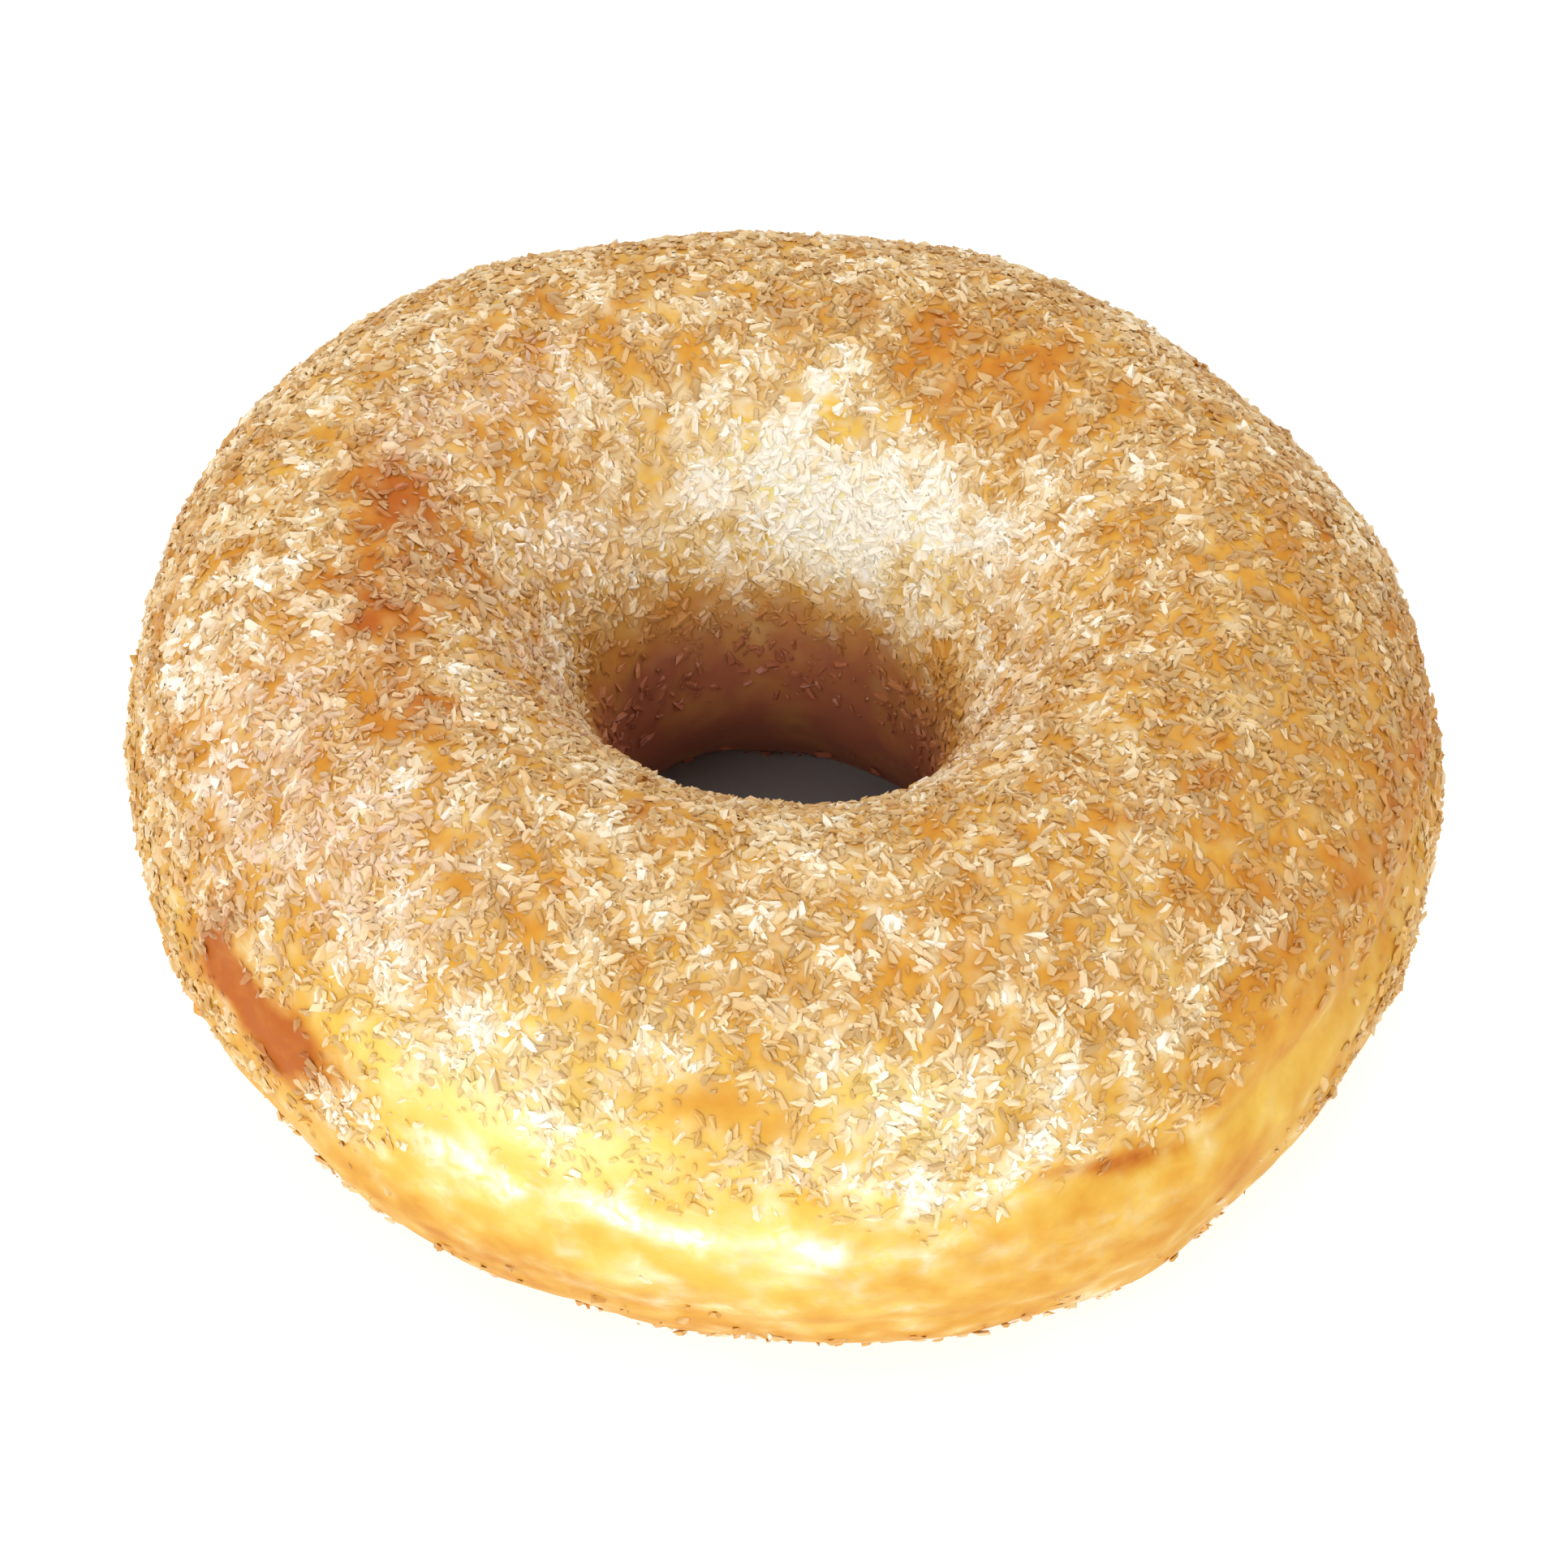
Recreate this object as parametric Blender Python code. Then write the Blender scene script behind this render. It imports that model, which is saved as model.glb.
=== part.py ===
"""Mini ring doughnut, fried golden and rolled in sugar, lying on its flat side.

Metres, +Z up. The origin is on the table, under the middle of the ring. -Y is the front.
"""

import math

import bmesh
import bpy
import numpy as np
from mathutils import Euler, Matrix, Vector, noise

# Driving dimensions, in metres
OUTER_RADIUS = 0.0256
HOLE_RADIUS = 0.0061
HEIGHT = 0.0209
BASE_PRESS = 0.0007

# Heights at which the ring is widest, and at which its hole is narrowest
BELT_HEIGHT = 0.0111
WAIST_HEIGHT = 0.0078

# The crest of the ring, as a share of the way from the hole to the outside
CREST_SHARE = 0.5

# Fullness of the section: 2 is an ellipse, and more is squarer
UPPER_OUTSIDE_FULLNESS = 2.1
LOWER_OUTSIDE_FULLNESS = 2.03
HOLE_FULLNESS = 1.9

# The uneven outlines seen from above: number of lobes, share of the radius, degrees to the first lobe
OUTLINE_LOBES = (
    (2, 0.0310, -45.0),
    (3, 0.0050, 32.0),
    (4, 0.0070, 40.0),
    (5, 0.0050, 3.0),
    (6, 0.0066, 3.0),
)
HOLE_LOBES = ((1, 0.020, 150.0), (2, 0.050, -29.0))

# Low bumps of the fried dough: distance between bumps and their height, in metres
SWELLS = ((0.0085, 0.00030), (0.0038, 0.00016))

# The shallow folds above and below the pale belt: height and depth, in metres
BELT_FOLDS = ((0.0135, 0.00052), (0.0058, 0.00036))
FOLD_WIDTH = 0.0011
FOLD_MEANDER = 0.0006

# The folds round the ring: their waves up and down, how far they fade, and where both start, in radians
MEANDER_WAVES = 3.0
MEANDER_START = 0.6
FOLD_FADING = 0.4
FADING_START = 1.3

# Faces of the ring, and the two radii of the plain torus that it starts from
SECTIONS_AROUND = 66
POINTS_A_SECTION = 42
TORUS_RADIUS = 1.0
TORUS_SECTION_RADIUS = 0.5

# The largest sugar crystals, in metres
LARGEST_CRYSTAL = 0.00115
SMALLEST_CRYSTAL = 0.00080
CRYSTAL_TRIES = 400
CRYSTAL_SHAPES = 7
CRYSTAL_PROPORTIONS = (1.0, 0.78, 0.70)
CORNER_UNEVENNESS = 0.22
CRYSTAL_SUNK = 0.14
CRYSTAL_LEAN = 0.9
CRYSTAL_SEED = 52
GOLDEN_ANGLE = math.pi * (3.0 - math.sqrt(5.0))

# Where few or no crystals stick: near the table, down inside the hole, and on the smooth belt
BARE_BELOW = 0.0036
HOLE_RIM_RADIUS = 0.0105
HOLE_RIM_HEIGHT = 0.0165
BELT_BARE_SHARE = 0.8

CRUST_COLOUR = (0.78, 0.47, 0.16, 1.0)
CRUST_ROUGHNESS = 0.62
SHARP_EDGE = math.radians(38.0)


def clear_scene():
    """Removes every object that the scene starts with."""
    for thing in list(bpy.data.objects):
        bpy.data.objects.remove(thing, do_unlink=True)


def new_collection(name):
    """Makes a collection under the scene's own."""
    collection = bpy.data.collections.new(name)
    bpy.context.scene.collection.children.link(collection)
    return collection


def sugared_crust():
    """Golden crust, dulled by its sugar."""
    material = bpy.data.materials.new("sugared crust")
    material.use_nodes = True
    shader = material.node_tree.nodes["Principled BSDF"]
    shader.inputs["Base Color"].default_value = CRUST_COLOUR
    shader.inputs["Roughness"].default_value = CRUST_ROUGHNESS
    shader.inputs["Metallic"].default_value = 0.0
    return material


def signed_power(value, fullness):
    """Bends a sine or cosine so that the section grows squarer with its fullness."""
    return np.sign(value) * np.abs(value) ** (2.0 / fullness)


def uneven(turn, outline):
    """How much wider than a circle an outline is at each angle round the ring."""
    share = np.ones_like(turn)
    for lobes, amount, first in outline:
        share = share + amount * np.cos(lobes * (turn - math.radians(first)))
    return share


def section(turn, lift):
    """Radius and height of the smooth ring.

    turn is the angle round the ring, and lift the angle round its section from the outside upwards.
    """
    across, upwards = np.cos(lift), np.sin(lift)
    outside, above = across >= 0, upwards >= 0
    outer_edge = OUTER_RADIUS * uneven(turn, OUTLINE_LOBES)
    hole_edge = HOLE_RADIUS * uneven(turn, HOLE_LOBES)
    crest = hole_edge + CREST_SHARE * (outer_edge - hole_edge)
    outer_fullness = np.where(above, UPPER_OUTSIDE_FULLNESS, LOWER_OUTSIDE_FULLNESS)
    fullness = np.where(outside, outer_fullness, HOLE_FULLNESS)
    reach = np.where(outside, outer_edge - crest, crest - hole_edge)
    level = np.where(outside, BELT_HEIGHT, WAIST_HEIGHT)
    rise = np.where(above, HEIGHT - level, level + BASE_PRESS)
    radius = crest + reach * signed_power(across, fullness)
    height = level + rise * signed_power(upwards, fullness)
    return radius, height


def outwards(turn, lift):
    """Direction straight out of the ring's section."""
    level = np.cos(lift)
    return np.stack([level * np.cos(turn), level * np.sin(turn), np.sin(lift)], axis=1)


def swelling(point):
    """Height of the dough's own low bumps at a point, in metres."""
    return sum(
        amount * noise.noise(Vector(point) / spacing, noise_basis="PERLIN_ORIGINAL")
        for spacing, amount in SWELLS
    )


def meander(turn):
    """How far the folds wander up and down round the ring."""
    return FOLD_MEANDER * np.sin(MEANDER_WAVES * turn + MEANDER_START) * np.cos(turn)


def folds(turn, lift, height):
    """Depth of the two meandering folds that edge the belt round the outside."""
    strength = 1.0 + FOLD_FADING * (np.cos(2.0 * turn + FADING_START) - 1.0)
    across = np.clip(np.cos(lift), 0.0, 1.0)
    depth = np.zeros_like(turn)
    for middle, deepest in BELT_FOLDS:
        offset = (height - middle - meander(turn)) / FOLD_WIDTH
        depth = depth + deepest * np.exp(-(offset**2))
    return depth * strength * across


def dough_points(turn, lift):
    """Points of the dough's surface, with its bumps, its folds and the flat that it rests on."""
    radius, height = section(turn, lift)
    smooth = np.stack([radius * np.cos(turn), radius * np.sin(turn), height], axis=1)
    relief = np.array([swelling(point) for point in smooth]) - folds(turn, lift, height)
    points = smooth + outwards(turn, lift) * relief[:, None]
    points[:, 2] = np.maximum(points[:, 2], 0.0)
    return points


def make_ring(collection):
    """The dough: a torus whose points are moved to the doughnut's own section."""
    bpy.ops.mesh.primitive_torus_add(
        major_segments=SECTIONS_AROUND,
        minor_segments=POINTS_A_SECTION,
        major_radius=TORUS_RADIUS,
        minor_radius=TORUS_SECTION_RADIUS,
    )
    ring = bpy.context.active_object
    ring.name = ring.data.name = "doughnut"
    count = len(ring.data.vertices)
    start = np.empty(count * 3)
    ring.data.vertices.foreach_get("co", start)
    start = start.reshape(count, 3)
    turn = np.arctan2(start[:, 1], start[:, 0])
    lift = np.arctan2(start[:, 2], np.hypot(start[:, 0], start[:, 1]) - TORUS_RADIUS)
    points = dough_points(turn, lift)
    middle = (points.min(axis=0) + points.max(axis=0)) / 2.0
    points[:, :2] -= middle[:2]
    ring.data.vertices.foreach_set("co", points.ravel())
    ring.data.update()
    for old in list(ring.users_collection):
        old.objects.unlink(ring)
    collection.objects.link(ring)
    return ring, Vector((middle[0], middle[1], 0.0))


def crystal_mesh(number, draw):
    """A sugar crystal one unit long, with uneven corners."""
    crystal = bmesh.new()
    bmesh.ops.create_cube(crystal, size=1.0)
    bmesh.ops.scale(crystal, vec=CRYSTAL_PROPORTIONS, verts=crystal.verts)
    for corner in crystal.verts:
        corner.co += Vector(CORNER_UNEVENNESS * (draw.random(3) - 0.5))
    bmesh.ops.triangulate(crystal, faces=crystal.faces)
    mesh = bpy.data.meshes.new(f"crystal shape {number}")
    crystal.to_mesh(mesh)
    crystal.free()
    return mesh


def lift_for_even_cover(shares):
    """Angles round the section that share out the ring's surface evenly."""
    lifts = np.linspace(-math.pi, math.pi, 721)
    radius, height = section(np.zeros_like(lifts), lifts)
    steps = np.hypot(np.diff(radius), np.diff(height)) * (radius[1:] + radius[:-1]) / 2.0
    covered = np.concatenate([[0.0], np.cumsum(steps)])
    return np.interp(shares * covered[-1], covered, lifts)


def holds_crystal(point, chance):
    """Whether the sugar there is thick enough for a large crystal."""
    in_hole = math.hypot(point.x, point.y) < HOLE_RIM_RADIUS
    if point.z < BARE_BELOW or (in_hole and point.z < HOLE_RIM_HEIGHT):
        return False
    upper_fold, lower_fold = (height for height, depth in BELT_FOLDS)
    on_belt = lower_fold < point.z < upper_fold
    return not (on_belt and chance < BELT_BARE_SHARE)


def crystal_stance(out, size, draw):
    """Turns a crystal at random with one face about flat on the dough, and gives it its size."""
    spin, lean, tip = draw.random(3)
    tumble = Euler((CRYSTAL_LEAN * (lean - 0.5), CRYSTAL_LEAN * (tip - 0.5), 2.0 * math.pi * spin))
    facing = out.to_track_quat("Z", "Y").to_matrix().to_4x4()
    return facing @ tumble.to_matrix().to_4x4() @ Matrix.Scale(size, 4)


def scatter_crystals(collection, shift):
    """Spreads crystals of all sizes evenly over the dough along a golden-angle spiral."""
    draw = np.random.default_rng(CRYSTAL_SEED)
    shapes = [crystal_mesh(number, draw) for number in range(CRYSTAL_SHAPES)]
    lifts = lift_for_even_cover((np.arange(CRYSTAL_TRIES) + 0.5) / CRYSTAL_TRIES)
    turns = np.arange(CRYSTAL_TRIES) * GOLDEN_ANGLE % (2.0 * math.pi)
    points = dough_points(turns, lifts)
    sizes = draw.permutation(np.linspace(LARGEST_CRYSTAL, SMALLEST_CRYSTAL, CRYSTAL_TRIES))
    for i, (point, out, size) in enumerate(zip(points, outwards(turns, lifts), sizes)):
        place = Vector(point - size * CRYSTAL_SUNK * out) - shift
        stance = crystal_stance(Vector(out), size, draw)
        if holds_crystal(place, draw.random()):
            crystal = bpy.data.objects.new(f"crystal {i}", shapes[i % CRYSTAL_SHAPES])
            crystal.matrix_world = Matrix.Translation(place) @ stance
            collection.objects.link(crystal)


def fuse(ring, crystals):
    """Joins the crystals to the dough as one solid, and removes them."""
    union = ring.modifiers.new("sugar", "BOOLEAN")
    union.operation = "UNION"
    union.operand_type = "COLLECTION"
    union.collection = crystals
    union.solver = "EXACT"
    bpy.context.view_layer.update()
    graph = bpy.context.evaluated_depsgraph_get()
    fused = bpy.data.meshes.new_from_object(ring.evaluated_get(graph))
    ring.modifiers.clear()
    ring.data = fused
    for crystal in list(crystals.objects):
        bpy.data.objects.remove(crystal, do_unlink=True)
    bpy.data.collections.remove(crystals)


def main():
    """Builds the doughnut."""
    clear_scene()
    doughnut = new_collection("mini sugar doughnut")
    crystals = new_collection("crystals to fuse")
    ring, shift = make_ring(doughnut)
    scatter_crystals(crystals, shift)
    fuse(ring, crystals)
    ring.data.name = ring.name
    ring.data.materials.clear()
    ring.data.materials.append(sugared_crust())
    ring.data.shade_smooth()
    ring.data.set_sharp_from_angle(angle=SHARP_EDGE)


main()
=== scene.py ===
"""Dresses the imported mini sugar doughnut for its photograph.

The frame gives the doughnut's box and its one body. This script lays a fine dough ring over the
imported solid, browns it in patches, rolls it in sugar crystals of four sizes, and sets a plain studio.
Lengths are in metres, +Z is up, and -Y is the side that the camera looks from.
"""

import logging
import math
from collections.abc import Callable
from dataclasses import dataclass
from enum import Enum

import bpy
import numpy as np
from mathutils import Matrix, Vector, noise


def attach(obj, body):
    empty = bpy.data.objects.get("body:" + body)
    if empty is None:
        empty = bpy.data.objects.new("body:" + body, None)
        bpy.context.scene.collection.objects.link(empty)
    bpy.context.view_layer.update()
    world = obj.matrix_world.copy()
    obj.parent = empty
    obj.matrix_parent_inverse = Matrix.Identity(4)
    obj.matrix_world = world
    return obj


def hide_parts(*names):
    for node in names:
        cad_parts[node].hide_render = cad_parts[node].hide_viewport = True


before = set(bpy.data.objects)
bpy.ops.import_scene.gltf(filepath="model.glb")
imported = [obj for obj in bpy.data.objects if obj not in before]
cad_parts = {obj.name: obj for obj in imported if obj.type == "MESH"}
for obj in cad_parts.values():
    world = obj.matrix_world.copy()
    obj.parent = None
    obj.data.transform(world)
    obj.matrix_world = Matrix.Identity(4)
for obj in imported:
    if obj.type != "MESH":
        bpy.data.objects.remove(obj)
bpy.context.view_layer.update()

LOG = logging.getLogger("doughnut")

BODY = "root"
NODE = "doughnut"
IMAGE_WIDTH = 1932
FIRST_SEED = 11
GOLDEN_ANGLE = math.pi * (3.0 - math.sqrt(5.0))


@dataclass(frozen=True)
class Patch:
    """A soft-edged patch on the ring, in degrees round it and degrees round its section.

    The turn runs from +X towards +Y, so 270 is the front. The lift is 0 at the outside, 90 on the
    crest and 180 inside the hole.
    """

    turn: float
    lift: float
    wide: float
    tall: float
    amount: float

    def strength(self, turn: np.ndarray, lift: np.ndarray) -> np.ndarray:
        """Strength of the patch at points of the ring.

        Args:
            turn: Angles round the ring, in degrees.
            lift: Angles round the section, in degrees.

        Returns:
            The patch's amount in its middle, fading smoothly to none.
        """
        across = (turn - self.turn + 180.0) % 360.0 - 180.0
        along = (lift - self.lift + 180.0) % 360.0 - 180.0
        return self.amount * np.exp(-((across / self.wide) ** 2) - (along / self.tall) ** 2)


@dataclass(frozen=True)
class Spots:
    """Places on the ring: radians round it and round its section, and the surface's points there."""

    turn: np.ndarray
    lift: np.ndarray
    points: np.ndarray


@dataclass(frozen=True)
class RingShape:
    """The uneven ring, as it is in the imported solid."""

    outer_radius: float = 0.0256
    hole_radius: float = 0.0061
    height: float = 0.0209
    belt_height: float = 0.0111
    waist_height: float = 0.0078
    base_press: float = 0.0007
    crest_share: float = 0.5
    upper_fullness: float = 2.1
    lower_fullness: float = 2.03
    hole_fullness: float = 1.9
    outline_lobes: tuple = (
        (2, 0.0310, -45.0),
        (3, 0.0050, 32.0),
        (4, 0.0070, 40.0),
        (5, 0.0050, 3.0),
        (6, 0.0066, 3.0),
    )
    hole_lobes: tuple = ((1, 0.020, 150.0), (2, 0.050, -29.0))
    swells: tuple = ((0.0085, 0.00030), (0.0038, 0.00016))
    crust_ripples: tuple = ((0.0019, 0.00007), (0.0009, 0.00004))
    belt_folds: tuple = ((0.0135, 0.00052), (0.0058, 0.00036))
    fold_width: float = 0.0011
    fold_fading: float = 0.4
    fading_start: float = 1.3
    fold_meander: float = 0.0006
    meander_waves: float = 3.0
    meander_start: float = 0.6
    solid_sections: int = 66
    solid_points: int = 42
    lift_steps: int = 721

    @staticmethod
    def uneven(turn: np.ndarray, lobes: tuple) -> np.ndarray:
        """How much wider than a circle an outline is.

        Args:
            turn: Angles round the ring, in radians.
            lobes: Number of lobes, share of the radius and degrees to the first lobe, of each term.

        Returns:
            A factor for the radius at each angle.
        """
        share = np.ones_like(turn)
        for count, amount, first in lobes:
            share = share + amount * np.cos(count * (turn - math.radians(first)))
        return share

    def section(self, turn: np.ndarray, lift: np.ndarray) -> tuple[np.ndarray, np.ndarray]:
        """Radius and height of the smooth ring.

        Args:
            turn: Angles round the ring, in radians.
            lift: Angles round the section, in radians.

        Returns:
            The radius from the axis, and the height over the table.
        """
        across, upwards = np.cos(lift), np.sin(lift)
        outside, above = across >= 0, upwards >= 0
        outer_edge = self.outer_radius * self.uneven(turn, self.outline_lobes)
        hole_edge = self.hole_radius * self.uneven(turn, self.hole_lobes)
        crest = hole_edge + self.crest_share * (outer_edge - hole_edge)
        outer_fullness = np.where(above, self.upper_fullness, self.lower_fullness)
        fullness = np.where(outside, outer_fullness, self.hole_fullness)
        reach = np.where(outside, outer_edge - crest, crest - hole_edge)
        level = np.where(outside, self.belt_height, self.waist_height)
        rise = np.where(above, self.height - level, level + self.base_press)
        radius = crest + reach * np.sign(across) * np.abs(across) ** (2.0 / fullness)
        height = level + rise * np.sign(upwards) * np.abs(upwards) ** (2.0 / fullness)
        return radius, height

    @staticmethod
    def outwards(turn: np.ndarray, lift: np.ndarray) -> np.ndarray:
        """Direction straight out of the section at each pair of angles."""
        level = np.cos(lift)
        return np.stack([level * np.cos(turn), level * np.sin(turn), np.sin(lift)], axis=1)

    def folds(self, turn: np.ndarray, lift: np.ndarray, height: np.ndarray) -> np.ndarray:
        """Depth of the two folds that edge the belt.

        Args:
            turn: Angles round the ring, in radians.
            lift: Angles round the section, in radians.
            height: Heights over the table.

        Returns:
            The depth at each point.
        """
        strength = (1.0 - self.fold_fading) + self.fold_fading * np.cos(2.0 * turn + self.fading_start)
        waves = np.sin(self.meander_waves * turn + self.meander_start)
        meander = self.fold_meander * waves * np.cos(turn)
        depth = np.zeros_like(turn)
        for middle, deepest in self.belt_folds:
            offset = (height - middle - meander) / self.fold_width
            depth = depth + deepest * np.exp(-(offset**2))
        return depth * strength * np.clip(np.cos(lift), 0.0, 1.0)

    def points(self, turn: np.ndarray, lift: np.ndarray, rippled: bool = True) -> np.ndarray:
        """Points of the dough's surface before the ring is centred.

        Args:
            turn: Angles round the ring, in radians.
            lift: Angles round the section, in radians.
            rippled: Whether the fine ripples of the crust are added to the low bumps.

        Returns:
            One row of x, y and z for each pair of angles.
        """
        radius, height = self.section(turn, lift)
        smooth = np.stack([radius * np.cos(turn), radius * np.sin(turn), height], axis=1)
        relief = -self.folds(turn, lift, height)
        for spacing, amount in self.swells + (self.crust_ripples if rippled else ()):
            relief = relief + amount * noise_at(smooth, spacing)
        points = smooth + self.outwards(turn, lift) * relief[:, None]
        points[:, 2] = np.maximum(points[:, 2], 0.0)
        return points

    def middle(self) -> np.ndarray:
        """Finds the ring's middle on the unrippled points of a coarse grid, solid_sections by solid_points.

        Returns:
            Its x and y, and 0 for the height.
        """
        turn, lift = ring_grid(self.solid_sections, self.solid_points)
        points = self.points(turn, lift, rippled=False)
        middle = (points.min(axis=0) + points.max(axis=0)) / 2.0
        return np.array([middle[0], middle[1], 0.0])

    def even_lifts(self, shares: np.ndarray) -> np.ndarray:
        """Angles round the section that share out the ring's surface evenly.

        Args:
            shares: Shares of the surface, from 0 to 1.

        Returns:
            Angles in radians, from the underside of the hole up over the crest and back.
        """
        lifts = np.linspace(-math.pi, math.pi, self.lift_steps)
        radius, height = self.section(np.zeros_like(lifts), lifts)
        steps = np.hypot(np.diff(radius), np.diff(height)) * (radius[1:] + radius[:-1]) / 2.0
        covered = np.concatenate([[0.0], np.cumsum(steps)])
        return np.interp(shares * covered[-1], covered, lifts)


def noise_at(points: np.ndarray, spacing: float) -> np.ndarray:
    """Smooth noise at each point.

    Args:
        points: Rows of x, y and z.
        spacing: Distance between the noise's bumps.

    Returns:
        One value for each point, from about -1 to 1.
    """
    return np.array([noise.noise(Vector(point) / spacing) for point in points])


def ring_grid(sections: int, points: int) -> tuple[np.ndarray, np.ndarray]:
    """Angles of a ring's points, section by section.

    Args:
        sections: Number of sections round the ring.
        points: Number of points round each section.

    Returns:
        Angles round the ring and round the section, in radians.
    """
    turn = np.arange(sections) * 2.0 * math.pi / sections
    lift = np.arange(points) * 2.0 * math.pi / points
    turns, lifts = np.meshgrid(turn, lift, indexing="ij")
    return turns.ravel(), lifts.ravel()


@dataclass(frozen=True)
class Browning:
    """Where the crust is pale, golden or brown, where the sugar lies thick or thin, and where shade and
    highlights are painted into the colours.
    """

    golden: float = 0.60
    belt_paleness: float = 0.06
    belt_bareness: float = 0.45
    belt_tall: float = 20.0
    # Heights between which the painted shade in the hole grows from none to full.
    rim_height: float = 0.0158
    waist_height: float = 0.0096
    border_wander: float = 7.0
    border_spacing: float = 0.0040
    along_shift: float = 1.0
    drift_shift: float = 2.0
    drifts: tuple = ((0.0009, 1.2), (0.0017, 1.2), (0.0040, 0.6))
    drift_tone: float = 0.36
    drift_bake: float = 0.18
    browned_tone: float = 0.9
    drift_cover: float = 0.40
    drift_dust: float = 0.70
    usual_tone: float = 0.31
    usual_rosiness: float = 0.04
    most_cover: float = 2.0
    most_dust: float = 3.0
    under_cover: float = 0.14
    under_lift: float = -12.0
    smooth_lift: float = -12.0
    smooth_cover: float = 0.05
    # Share of the sugar cover taken away where the painted hole shade is full.
    hole_shade_bareness: float = 0.80
    base_line: float = 0.0024
    hole_edge_steepness: float = 3.0
    hole_edge_start: float = 0.3

    browned: tuple[Patch, ...] = (
        Patch(163, 94, 13, 12, 0.34),
        Patch(192, 91, 12, 10, 0.32),
        Patch(177, 108, 12, 10, 0.24),
        Patch(212, 96, 6, 9, 0.18),
        Patch(249, 101, 5, 8, 0.16),
        Patch(219, 9, 6, 7, 0.90),
        Patch(232, -6, 12, 7, 0.06),
        Patch(246, -20, 12, 7, 0.16),
        Patch(214, 22, 5, 10, 0.50),
        Patch(266, 33, 8, 8, 0.32),
        Patch(350, 28, 14, 16, 0.14),
        Patch(298, 11, 11, 2, 0.34),
        Patch(300, -4, 14, 8, 0.10),
        Patch(318, 14, 12, 12, 0.02),
        Patch(320, 78, 7, 6, 0.14),
        Patch(330, 34, 22, 26, 0.11),
        Patch(52, 98, 16, 20, 0.12),
        Patch(72, 92, 9, 5, 0.14),
        Patch(94, 98, 7, 6, 0.14),
        Patch(12, 62, 9, 8, 0.14),
        Patch(277, -8, 5, 5, 0.14),
    )
    pale: tuple[Patch, ...] = (
        Patch(258, 22, 34, 26, 0.23),
        Patch(248, 38, 24, 16, 0.12),
        # This patch and those at turns 259 and 272 pale the crust along a painted highlight streak on the
        # belt.
        Patch(248, 6, 8, 4, 0.12),
        Patch(254, 0, 24, 10, 0.08),
        Patch(316, 6, 12, 10, 0.07),
        Patch(259, 0, 9, 4, 0.24),
        Patch(272, -2, 7, 5, 0.20),
        Patch(281, 38, 10, 10, 0.30),
        Patch(252, 24, 8, 9, 0.14),
        Patch(284, 14, 8, 8, 0.20),
        Patch(266, -14, 14, 9, 0.20),
        Patch(238, 20, 12, 10, 0.16),
        # Paler crust on the far slope of the hole, part of a painted highlight there.
        Patch(72, 138, 46, 18, 0.50),
    )
    thick_sugar: tuple[Patch, ...] = (
        # Thick sugar on the far slope of the hole, part of a painted highlight there.
        Patch(72, 137, 48, 17, 1.0),
        Patch(138, 98, 11, 7, 0.5),
        Patch(216, 60, 16, 18, 0.4),
        Patch(316, 46, 3, 6, 1.4),
        Patch(282, 37, 6, 6, 0.5),
        Patch(227, 4, 4, 5, 1.0),
    )
    thin_sugar: tuple[Patch, ...] = (
        Patch(164, 93, 12, 11, 0.60),
        Patch(191, 93, 12, 11, 0.52),
        Patch(346, 24, 16, 18, 0.40),
        Patch(219, 9, 5, 8, 0.84),
        Patch(50, 98, 19, 24, 0.45),
        Patch(326, 36, 24, 28, 0.40),
        Patch(316, 12, 18, 13, 0.60),
        Patch(245, 16, 20, 17, 0.64),
        Patch(272, -4, 22, 13, 0.80),
        Patch(266, 33, 8, 7, 0.90),
        Patch(240, -8, 18, 9, 0.80),
        Patch(298, -4, 18, 12, 0.80),
    )
    dusted_and_highlights: tuple[Patch, ...] = (
        # This patch and those at turns 259 and 272 thicken the sugar along a painted highlight streak on
        # the belt.
        Patch(248, 6, 8, 4, 1.8),
        Patch(259, 0, 9, 4, 2.0),
        Patch(278, -4, 18, 14, 0.7),
        Patch(272, -2, 7, 5, 1.4),
        Patch(284, 14, 8, 8, 1.4),
        Patch(281, 38, 8, 8, 1.4),
        Patch(256, 34, 30, 18, 0.8),
        Patch(262, -18, 14, 9, 0.8),
        # Thicker dusting on the far slope of the hole, part of a painted highlight there.
        Patch(72, 137, 48, 17, 2.4),
        Patch(219, 9, 6, 8, -0.90),
        Patch(266, 33, 8, 8, -1.00),
        Patch(170, 94, 16, 12, -0.30),
    )
    white_sugar_and_highlights: tuple[Patch, ...] = (
        # White sugar on the far slope of the hole, whitened further as a painted highlight.
        Patch(72, 137, 52, 20, 0.95),
        Patch(10, 135, 20, 13, 0.12),
        Patch(205, 60, 26, 24, 0.22),
        Patch(26, 120, 16, 12, 0.24),
        Patch(140, 98, 14, 10, 0.14),
        # This patch, the next one and the one at turn 272 whiten the sugar along a painted highlight streak
        # on the belt.
        Patch(248, 6, 9, 4, 0.46),
        Patch(259, 0, 10, 4, 0.56),
        Patch(278, -4, 18, 14, 0.16),
        Patch(196, 48, 12, 12, 0.34),
        Patch(272, -2, 7, 5, 0.40),
        Patch(284, 15, 9, 9, 0.45),
        Patch(281, 39, 9, 10, 0.55),
        Patch(256, 30, 30, 20, 0.18),
        Patch(248, 12, 24, 14, 0.20),
        Patch(188, 66, 12, 12, 0.16),
        Patch(234, 38, 8, 9, 0.30),
        Patch(316, 46, 4, 7, 0.60),
        Patch(284, 66, 7, 7, 0.30),
        Patch(227, 4, 4, 5, 0.50),
        Patch(262, -42, 46, 10, 0.35),
    )
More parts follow.
